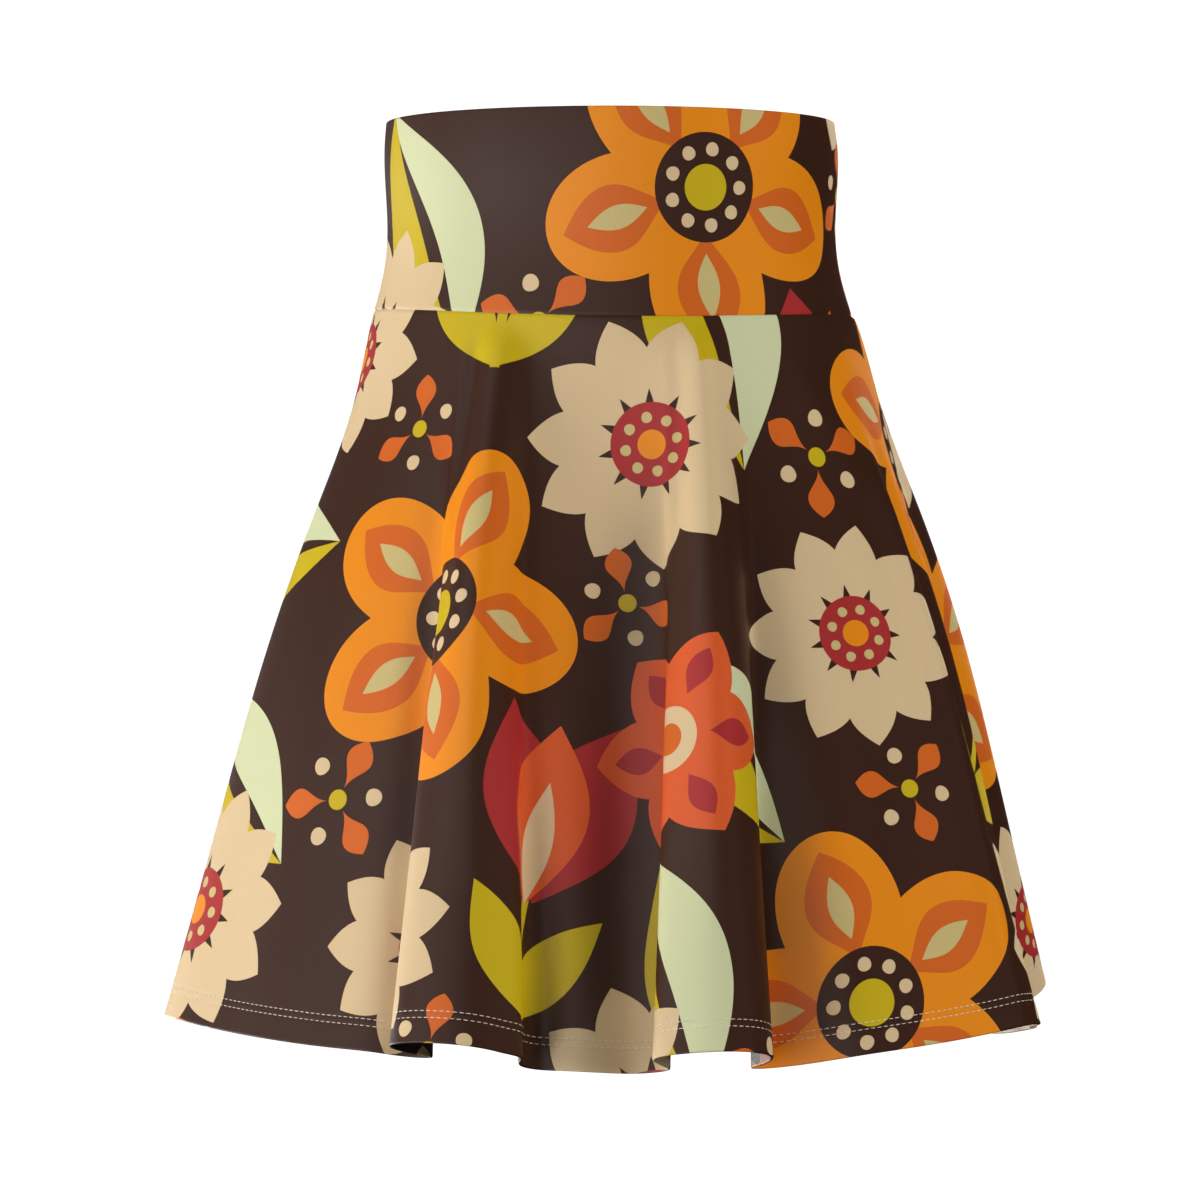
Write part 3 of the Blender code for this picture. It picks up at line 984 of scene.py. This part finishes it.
PRINT_LAYOUT = (  # motif, middle (x, y), turn in degrees, size
    (folk_leaf, -136, -62, 26, 1.1),
    (folk_leaf, -74, 92, 66, 1.0),
    (tulip, 54, -92, -12, 1.1),
    (daisy, 116, 106, 12, 1.08),
    (daisy, -62, -128, 0, 0.96),
    (star, 138, -48, 8, 1.12),
    (bloom, -10, 26, 0, 1.1),
    (buds, -97, -42, 15, 0.85),
    (buds, 100, 26, 70, 0.75),
    (buds, -18, 133, 40, 0.75),
)


def print_colour(nodes):
    """The print: motifs laid over one another on a dark ground, in half-dropped repeats."""
    cut = nodes.add("ShaderNodeUVMap", uv_map=CUT_MAP).outputs[0]
    cloth = nodes.split(nodes.vector("MULTIPLY", cut, (1 / MM, 1 / MM, 1.0)))
    tint = GROUND
    for draw, *spot in PRINT_LAYOUT:
        motif = Motif(nodes, cloth, tint, spot)
        draw(motif)
        tint = motif.ground
    return cloth, tint


def jersey_bump(nodes, cloth):
    """Fine ribs of the knit, crossed by its courses, with a slight unevenness."""
    x, y = cloth
    wale = nodes.math("SINE", nodes.math("MULTIPLY", x, 2 * math.pi / WALE))
    course = nodes.math("SINE", nodes.math("MULTIPLY", y, 2 * math.pi / COURSE))
    knit = nodes.math("MULTIPLY", nodes.math("MULTIPLY", wale, course), KNIT_HEIGHT)
    uneven = nodes.noise(nodes.join(x, y), UNEVEN_SCALE, UNEVEN_DETAIL)
    height = nodes.math("MULTIPLY_ADD", uneven, UNEVEN_HEIGHT, knit)
    return nodes.bump(height, *JERSEY_BUMP)


def new_material(name):
    made = bpy.data.materials.new(name)
    made.use_nodes = True
    return Nodes(made.node_tree), made.node_tree.nodes["Principled BSDF"], made


def finish_cloth(nodes, shader, tint, normal, gloss):
    """Colour, fine relief, roughness and specular level of a cloth or thread."""
    nodes.feed(shader.inputs["Base Color"], tint)
    nodes.feed(shader.inputs["Normal"], normal)
    roughness, specular = gloss
    shader.inputs["Roughness"].default_value = roughness
    shader.inputs["Specular IOR Level"].default_value = specular


def printed_jersey():
    nodes, shader, made = new_material("printed_jersey")
    cloth, tint = print_colour(nodes)
    mottle = nodes.share(nodes.noise(nodes.join(*cloth), MOTTLE_SCALE, MOTTLE_DETAIL), *MOTTLE_RANGE)
    tint = nodes.mix(nodes.math("MULTIPLY", mottle, MOTTLE_DEPTH), tint, BLACK)
    finish_cloth(nodes, shader, tint, jersey_bump(nodes, cloth), PRINTED_GLOSS)
    return made


def jersey_reverse():
    nodes, shader, made = new_material("jersey_reverse")
    cloth, tint = print_colour(nodes)
    tint = nodes.mix(REVERSE_SHOW, REVERSE, tint)
    finish_cloth(nodes, shader, tint, jersey_bump(nodes, cloth), REVERSE_GLOSS)
    return made


def stitch_thread():
    nodes, shader, made = new_material("stitch_thread")
    place = nodes.add("ShaderNodeTexCoord").outputs["Object"]
    fuzz = nodes.noise(place, FUZZ_SCALE, FUZZ_DETAIL)
    tint = nodes.mix(fuzz, THREAD_DARK, THREAD)
    finish_cloth(nodes, shader, tint, nodes.bump(fuzz, *THREAD_BUMP), THREAD_GLOSS)
    return made


def aim(obj, target):
    """Turns the object towards the target."""
    direction = mathutils.Vector(target) - obj.location
    obj.rotation_euler = direction.to_track_quat("-Z", "Y").to_euler()


def add_light(name, aside, above, size, power, gloss):
    """A soft light aimed at the skirt's middle. It makes either the cloth's gloss alone, or all but that."""
    data = bpy.data.lights.new(name, "AREA")
    data.shape = "RECTANGLE"
    data.size, data.size_y = size
    data.energy = power
    aside, above = math.radians(aside), math.radians(above)
    out = mathutils.Vector((math.sin(aside), -math.cos(aside), math.tan(above))).normalized()
    light = bpy.data.objects.new(name, data)
    light.location = mathutils.Vector(OBJECT_MIDDLE) + out * LIGHT_DISTANCE
    light.visible_camera = False
    light.visible_glossy = gloss
    light.visible_diffuse = not gloss
    bpy.context.scene.collection.objects.link(light)
    aim(light, OBJECT_MIDDLE)


def add_camera():
    data = bpy.data.cameras.new("camera")
    data.sensor_width = SENSOR_WIDTH
    data.lens = SENSOR_WIDTH * CAMERA_DISTANCE / VIEW_WIDTH
    camera = bpy.data.objects.new("camera", data)
    camera.location = (CAMERA_X, -CAMERA_DISTANCE, CAMERA_Z)
    camera.rotation_euler = (math.pi / 2, 0.0, 0.0)
    bpy.context.scene.collection.objects.link(camera)
    bpy.context.scene.camera = camera


def add_world():
    """White for the camera, and a very faint white as light on the cloth."""
    world = bpy.data.worlds.new("studio")
    bpy.context.scene.world = world
    world.use_nodes = True
    nodes = Nodes(world.node_tree)
    shader = world.node_tree.nodes["Background"]
    shader.inputs["Color"].default_value = WHITE
    seen = nodes.add("ShaderNodeLightPath").outputs["Is Camera Ray"]
    strength = nodes.math("MULTIPLY_ADD", seen, WORLD_SEEN - WORLD_LIGHT, WORLD_LIGHT)
    nodes.feed(shader.inputs["Strength"], strength)


def add_floor():
    """A pale studio floor below the skirt, where a wearer would stand. It keeps no light from the cloth."""
    nodes, shader, made = new_material("studio_floor")
    place = nodes.add("ShaderNodeTexCoord").outputs["Object"]
    grain = nodes.noise(place, *FLOOR_GRAIN)
    nodes.feed(shader.inputs["Base Color"], nodes.mix(grain, FLOOR_PALE, FLOOR_PALER))
    shader.inputs["Roughness"].default_value = FLOOR_ROUGHNESS
    shader.inputs["Emission Color"].default_value = WHITE
    seen = nodes.add("ShaderNodeLightPath").outputs["Is Camera Ray"]
    nodes.feed(shader.inputs["Emission Strength"], nodes.math("MULTIPLY", seen, FLOOR_SEEN))
    bpy.ops.mesh.primitive_plane_add(size=FLOOR_SIZE, location=(0.0, 0.0, FLOOR_HEIGHT))
    floor = bpy.context.object
    floor.name = "studio_floor"
    floor.data.materials.append(made)
    floor.visible_diffuse = floor.visible_glossy = floor.visible_shadow = False


def main():
    bpy.context.scene.view_settings.view_transform = "Standard"
    printed = [printed_jersey(), jersey_reverse()]
    thread = stitch_thread()
    for side, place in ((FRONT, "front"), (BACK, "back")):
        add_band(side, place, printed[:1])
        half = add_skirt(side, place, printed)
        add_stitches(half, place, thread)
    add_floor()
    add_world()
    for light in LIGHTS:
        add_light(*light)
    add_camera()


main()
